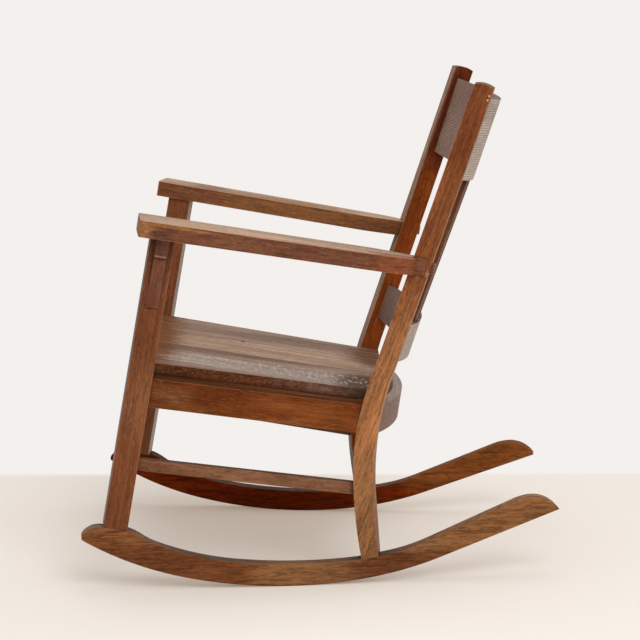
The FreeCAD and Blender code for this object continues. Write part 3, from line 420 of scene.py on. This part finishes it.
# painted shade: the far post's inner face is tinted darker and redder, and the dark patch by the
# crest rail is painted shade
farPostLook = dict(
    postLook, shine=0.06,
    faces=[((1, 0, 0), 1.0, (138, 64, 18)),
           ((0, 0.95, -0.3), 0.9, (176, 140, 112)), ((0, -0.95, 0.3), 0.85, (172, 138, 112)),
           ((0, -0.1, 0.99), 0.9, (120, 92, 76))],
    patches=[((-0.255, 0.26, 0.79), (0.024, 0.08, 0.16), 0.9, (92, 36, 16))])

# the arms' tops and front faces take tints of painted sheen
armLook = dict(
    oakLook, dark=(68, 34, 20), middle=(118, 69, 45), light=(156, 106, 72), streaks=0.65,
    worn=(176, 118, 74), wear=0.7, wearReach=0.0026,
    faces=[((0, 0.16, 0.987), 0.95, (188, 152, 124)), ((0, -1, 0), 0.9, (150, 104, 68))],
    patches=[((0.366, -0.32, 0.637), (0.03, 0.03, 0.045), 0.85, (158, 105, 64)),
            ((0.3609, -0.265, 0.6435), (0.03, 0.0036, 0.11), 0.9, (172, 112, 62)),
            ((0.36, -0.28, 0.6165), (0.03, 0.004, 0.05), 0.6, (150, 98, 58)),
            ((0.3625, -0.275, 0.631), (0.03, 0.007, 0.022), 0.75, (96, 62, 44)),
            ((0.305, 0.13, 0.57), (0.04, 0.04, 0.07), 0.7, (138, 72, 42))])

farArmLook = dict(
    armLook, dark=(76, 40, 18), middle=(122, 73, 42), light=(166, 112, 64),
    patches=[((-0.26, -0.08, 0.6), (0.1, 0.06, 0.2), 0.6, (150, 98, 56)),
            ((-0.3, -0.22, 0.63), (0.1, 0.02, 0.06), 0.5, (120, 66, 44))])

# the seat top's grey-lilac colours are a painted sheen, the pale backdrop's reflection, with the
# seat's own shine almost off. The brown band along the front edge is where that painted sheen gives
# way as the edge turns down, and the brown patches at the rear are painted reflection of the dark
# posts and slats
seatLook = dict(
    oakLook, dark=(104, 80, 68), middle=(165, 134, 115), light=(208, 180, 156), bandScale=26.0,
    bands=0.5, ringScale=110.0, streaks=0.6, pores=0.6, flecks=0.4, mottle=0.2,
    worn=(84, 46, 26), wear=0.8, shine=0.03, cornerShadeColour=(56, 30, 16), cornerShadeReach=0.02,
    faces=[((0.99, 0.11, 0), 1.0, (114, 64, 36)), ((-0.99, 0.11, 0), 1.0, (114, 64, 36)),
           ((0, -1, 0.15), 0.9, (110, 74, 50)), ((0, 1, 0), 0.9, (110, 80, 60)),
           ((0, 0, -1), 1.0, (96, 58, 34))],
    patches=[((-0.17, -0.08, 0.36), (0.05, 0.1, 0.5), 0.8, (140, 112, 96)),
            ((-0.02, -0.12, 0.37), (0.075, 0.1, 0.5), 0.85, (186, 153, 128)),
            ((0.062, -0.2, 0.38), (0.032, 0.1, 0.24), 0.9, (134, 104, 88)),
            ((0.17, -0.12, 0.365), (0.07, 0.1, 0.5), 0.8, (174, 156, 144)),
            ((0.0, -0.34, 0.39), (0.6, 0.06, 0.105), 1.0, (124, 80, 48)),
            ((-0.12, 0.12, 0.335), (0.16, 0.05, 0.09), 0.85, (116, 82, 58)),
            ((0.17, 0.1, 0.335), (0.13, 0.05, 0.1), 0.95, (102, 74, 58)),
            ((-0.0859, -0.1477, 0.3708), (0.007, 0.004, 0.005), 1.0, (70, 46, 36))],
    rays=[((0.15, -0.05, 0.36), (0.07, 0.06, 0.27), (42, 60, 180), (0.0, 0.12, 0.0), 0.5,
           (206, 194, 182)),
          ((0.24, -0.16, 0.36), (0.03, 0.03, 0.34), (60, 110, 300), (0.7, 0.0, 0.0), 0.4,
           (146, 108, 82))])

# the rails' tops are tinted dark brown as painted shade under the seat's overhang
railLook = dict(
    oakLook, dark=(70, 28, 8), middle=(128, 65, 28), light=(172, 108, 58), streaks=0.5,
    pores=0.3, flecks=0.2, mottle=0.75, wear=0.7, worn=(160, 104, 62), shine=0.03,
    faces=[((0, 0.15, 0.99), 1.0, (100, 58, 32))],
    patches=[((0.315, -0.26, 0.345), (0.05, 0.02, 0.05), 0.5, (150, 100, 62))])

# the stretchers' tops take a painted sheen
stretcherLook = dict(
    oakLook, dark=(74, 40, 22), middle=(127, 80, 52), light=(172, 124, 88), flecks=0.25,
    faces=[((0, 0.14, 0.99), 0.8, (110, 86, 72))])

# the back pieces' rear faces take a pale painted sheen
backLook = dict(
    oakLook, dark=(88, 62, 54), middle=(152, 121, 106), light=(184, 158, 142), ringScale=260.0,
    streaks=0.3, pores=0.25, flecks=0.1, mottle=0.25, lines=0.6, wear=0.3,
    cornerShadeColour=(66, 30, 12), faces=[((0, 0.95, -0.3), 0.95, (212, 188, 170))])

# the rear seat rail's top takes a painted sheen
rearRailLook = dict(
    backLook, lines=0.25, dark=(92, 66, 52), middle=(144, 112, 94), light=(176, 148, 130),
    faces=[((0, 0.15, 0.99), 0.9, (168, 150, 138))])

slatLook = dict(
    oakLook, dark=(60, 26, 10), middle=(106, 57, 28), light=(146, 94, 56), pores=0.4)

quarterTurn = math.pi / 2
alongX = (0.0, quarterTurn, 0.0)
alongY = (-quarterTurn, 0.0, 0.0)
alongBow = (-quarterTurn, quarterTurn - math.radians(18.5), -quarterTurn)


def leaning(degrees):
    # grain that rises along Z and leans back by so many degrees
    return (-math.radians(degrees), 0.0, 0.0)


alongLeg = leaning(9.9)
alongPost = leaning(18.8)
alongArm = leaning(99.1)
alongSeat = leaning(98.5)
alongStretcher = leaning(98.0)

# how a node's name starts: look, turn of the grain, edge rounding in metres
pieces = {
    "rocker_left": (rockerLook, alongY, 0.002),
    "rocker_right": (farRockerLook, alongY, 0.002),
    "front_leg": (legLook, alongLeg, 0.0015),
    "rear_post_left": (postLook, alongPost, 0.0015),
    "rear_post_right": (farPostLook, alongPost, 0.0015),
    "arm_left": (armLook, alongArm, 0.0022),
    "arm_right": (farArmLook, alongArm, 0.0022),
    "arm_corbel": (corbelLook, alongLeg, 0.001),
    "side_seat_rail": (railLook, alongSeat, 0.0015),
    "seat_cleat": (railLook, alongSeat, 0.001),
    "side_stretcher": (stretcherLook, alongStretcher, 0.0015),
    "front_seat_rail": (railLook, alongX, 0.001),
    "rear_seat_rail": (rearRailLook, alongBow, 0.001),
    "crest_rail": (backLook, alongBow, 0.0015),
    "lower_back_rail": (backLook, alongBow, 0.001),
    "back_slat": (slatLook, alongPost, 0.001),
    "seat_board": (seatLook, alongSeat, 0.0006),
}


# rounded copies of the wooden nodes. Sizes are in metres and angles in degrees
edgeSettings = {"weld": 0.00002, "flat": 0.8, "sharp": 32, "segments": 3, "smooth": 30}


def selectOnly(item):
    bpy.ops.object.select_all(action="DESELECT")
    item.select_set(True)
    bpy.context.view_layer.objects.active = item


def easeEdges(item, rounding):
    bevel = item.modifiers.new("easedEdges", "BEVEL")
    bevel.width = rounding
    bevel.segments = edgeSettings["segments"]
    return bevel


def smoothen():
    bpy.ops.object.shade_smooth_by_angle(angle=math.radians(edgeSettings["smooth"]))


def roundedCopy(node, rounding):
    item = bpy.data.objects.new(f"{node}_worn", nodes[node].data.copy())
    bpy.context.scene.collection.objects.link(item)
    item.data.materials.clear()
    selectOnly(item)
    bpy.ops.object.mode_set(mode="EDIT")
    bpy.ops.mesh.select_all(action="SELECT")
    bpy.ops.mesh.remove_doubles(threshold=edgeSettings["weld"])
    bpy.ops.mesh.dissolve_limited(angle_limit=math.radians(edgeSettings["flat"]))
    bpy.ops.object.mode_set(mode="OBJECT")
    bevel = easeEdges(item, rounding)
    bevel.limit_method = "ANGLE"
    bevel.angle_limit = math.radians(edgeSettings["sharp"])
    bevel.miter_outer = "MITER_ARC"
    bpy.ops.object.modifier_apply(modifier=bevel.name)
    smoothen()
    weighted = item.modifiers.new("flatFaces", "WEIGHTED_NORMAL")
    weighted.keep_sharp = True
    bpy.ops.object.modifier_apply(modifier=weighted.name)
    return item


# the pins. A look's roughness is a mean, so it is divided by the noise's own mean
bradLook = {"colour": (232, 208, 160), "roughness": 0.6, "metallic": 0.0}
screwLook = {"colour": (92, 84, 76), "roughness": 0.5, "metallic": 1.0}
pinSettings = {
    "shade": 0.6, "noiseMean": 0.5, "noise": {"Scale": 900.0, "Detail": 3.0, "Roughness": 0.6}}


def pinMaterial(name, look):
    material, tree, shader = newMaterial(name)
    worn = noise(tree, objectSpot(tree), pinSettings["noise"])
    shaded = [share * pinSettings["shade"] for share in look["colour"]]
    rough = look["roughness"] / pinSettings["noiseMean"]
    feed(tree, shader["Base Color"], mixColours(
        tree, worn, linear(*look["colour"]), linear(*shaded)))
    feed(tree, shader["Metallic"], look["metallic"])
    feed(tree, shader["Roughness"], mathNode(tree, "MULTIPLY", worn, rough))
    return material


# the short block that closes each arm's end on the post's outer face, which the CAD leaves out
blockLook = dict(
    armLook, dark=(84, 46, 30), middle=(126, 74, 50), light=(148, 94, 66), wear=0.3, grime=0.3,
    faces=[], patches=[])
armEnd = {
    "size": (0.0044, 0.0185, 0.0295), "spot": (0.28896, 0.16845, 0.5652), "pitch": 9.1,
    "outward": 8.2, "rounding": 0.0006, "rearRound": 0.0026, "rearSegments": 4,
    "grainShift": (0.3, 0.4, 0.7)}


def makeArmEnd(name, side):
    x, y, z = armEnd["spot"]
    bpy.ops.mesh.primitive_cube_add(
        size=1, location=(x * side, y, z),
        rotation=(-math.radians(armEnd["pitch"]), 0, -math.radians(armEnd["outward"]) * side))
    block = bpy.context.object
    block.name = name
    block.scale = armEnd["size"]
    bpy.ops.object.transform_apply(location=False, rotation=False, scale=True)
    # the outer rear arris is rounded over, as at the arm's own end
    bpy.ops.object.mode_set(mode="EDIT")
    bpy.ops.mesh.select_all(action="DESELECT")
    bpy.ops.object.mode_set(mode="OBJECT")
    for edge in block.data.edges:
        ends = [block.data.vertices[index].co for index in edge.vertices]
        edge.select = all(end.x * side > 0 and end.y > 0 for end in ends)
    bpy.ops.object.mode_set(mode="EDIT")
    bpy.ops.mesh.select_mode(type="EDGE")
    bpy.ops.mesh.bevel(
        offset=armEnd["rearRound"], segments=armEnd["rearSegments"], affect="EDGES")
    bpy.ops.object.mode_set(mode="OBJECT")
    bpy.ops.object.transform_apply(location=True, rotation=True, scale=True)
    bevel = easeEdges(block, armEnd["rounding"])
    bpy.ops.object.modifier_apply(modifier=bevel.name)
    smoothen()
    block.data.materials.append(
        oakMaterial(f"{name}Oak", blockLook, alongArm, armEnd["grainShift"]))
    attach(block, "root")


pins = {
    "crest_brads": pinMaterial("paleBrads", bradLook),
    "cleat_screws": pinMaterial("steelScrews", screwLook)}
for node, material in pins.items():
    nodes[node].data.materials.clear()
    nodes[node].data.materials.append(material)

# each piece is cut from another part of the oak
grainStep = (0.137, 0.291, 0.53)
for number, node in enumerate(sorted(nodes)):
    start = next((start for start in pieces if node.startswith(start)), None)
    if start is None:
        continue
    look, turn, rounding = pieces[start]
    worn = roundedCopy(node, rounding)
    shift = tuple(step * number for step in grainStep)
    worn.data.materials.append(oakMaterial(f"{node}_oak", look, turn, shift))
    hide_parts(node)
    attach(worn, "root")
makeArmEnd("armEndLeft", 1)
makeArmEnd("armEndRight", -1)
print("stage 3: wooden pieces rounded and grained")


# floor, light and camera

floorSettings = {
    "size": 400.0, "seam": -0.57, "blur": 0.02, "roughness": 0.9, "shine": 0.1,
    "near": (245, 244, 243), "far": (243, 240, 237), "glow": (245, 219, 190), "glowShare": 0.31}


def makeFloor(settings):
    bpy.ops.mesh.primitive_plane_add(size=settings["size"], location=(0, 0, 0))
    floor = bpy.context.object
    floor.name = "floor"
    material, tree, shader = newMaterial("paleFloor")
    across = addNode(tree, "ShaderNodeSeparateXYZ", {0: objectSpot(tree)})["X"]
    seam, blur = settings["seam"], settings["blur"]
    mask = ramp(tree, across, seam - blur, seam + blur)
    far, near, glow = (linear(*settings[key]) for key in ("far", "near", "glow"))
    feed(tree, shader["Base Color"], mixColours(tree, mask, far, near))
    feed(tree, shader["Roughness"], settings["roughness"])
    feed(tree, shader["Specular IOR Level"], settings["shine"])
    # past the seam the backdrop is plain, whatever light reaches it, and the floor's shadow is
    # thin:
    # nearer, a warm glow that only the camera sees lifts and warms that shadow, as painted bounce
    # light
    glowing = addNode(
        tree, "ShaderNodeEmission", {"Color": mixColours(tree, mask, far, glow)})[0]
    seen = addNode(tree, "ShaderNodeLightPath", {})["Is Camera Ray"]
    held = mathNode(tree, "MULTIPLY", mask, 1.0 - settings["glowShare"])
    share = mathNode(tree, "MULTIPLY", mathNode(tree, "SUBTRACT", 1.0, held), seen)
    lit = tree.nodes["Principled BSDF"].outputs[0]
    blend = addNode(tree, "ShaderNodeMixShader", {0: share, 1: lit, 2: glowing})[0]
    feed(tree, tree.nodes["Material Output"].inputs["Surface"], blend)
    floor.data.materials.append(material)


makeFloor(floorSettings)

lightSettings = {
    "world": 0.6, "aim": (0, 0, 0.4),
    "top": {"spot": (0.0, 0.2, 3.2), "size": 2.0, "power": 22.0},
    "front": {"spot": (3.2, 1.0, 3.0), "size": 2.4, "power": 76.0}}


def makeLamp(name, settings):
    bpy.ops.object.light_add(type="AREA", location=settings["spot"])
    lamp = bpy.context.object
    lamp.name = name
    lamp.data.shape = "DISK"
    lamp.data.size = settings["size"]
    lamp.data.energy = settings["power"]
    aim = Vector(lightSettings["aim"]) - Vector(settings["spot"])
    lamp.rotation_euler = aim.to_track_quat("-Z", "Y").to_euler()


world = bpy.data.worlds.new("softStudio")
bpy.context.scene.world = world
world.use_nodes = True
sky = world.node_tree.nodes["Background"].inputs
sky["Color"].default_value = (1, 1, 1, 1)
sky["Strength"].default_value = lightSettings["world"]
makeLamp("topLight", lightSettings["top"])
makeLamp("frontLight", lightSettings["front"])

cameraSettings = {
    "spot": (4.1896, -0.028, 1.1042), "forward": (-0.98713, 0.00594, -0.15983),
    "lens": 129.16, "sensor": 36.0}
bpy.ops.object.camera_add(location=cameraSettings["spot"])
camera = bpy.context.object
camera.name = "photoCamera"
camera.data.lens = cameraSettings["lens"]
camera.data.sensor_width = cameraSettings["sensor"]
forward = Vector(cameraSettings["forward"])
camera.rotation_euler = forward.to_track_quat("-Z", "Y").to_euler()
bpy.context.scene.camera = camera
bpy.context.scene.view_settings.view_transform = "Standard"
print("stage 4: floor, light and camera set")


# node trees laid out for the editor: each node stands to the left of all that it feeds
nodeGap = 260


def layOut(tree):
    columns = {node.name: 0 for node in tree.nodes}
    moved = True
    while moved:
        moved = False
        for link in tree.links:
            start, end = link.from_node.name, link.to_node.name
            if columns[start] <= columns[end]:
                columns[start] = columns[end] + 1
                moved = True
    filled = {}
    for node in tree.nodes:
        column = columns[node.name]
        filled[column] = filled.get(column, 0) + 1
        node.location = (-nodeGap * column, -nodeGap * filled[column])


for group in bpy.data.node_groups:
    layOut(group)
for material in bpy.data.materials:
    if material.use_nodes:
        layOut(material.node_tree)
print("stage 5: node trees laid out")
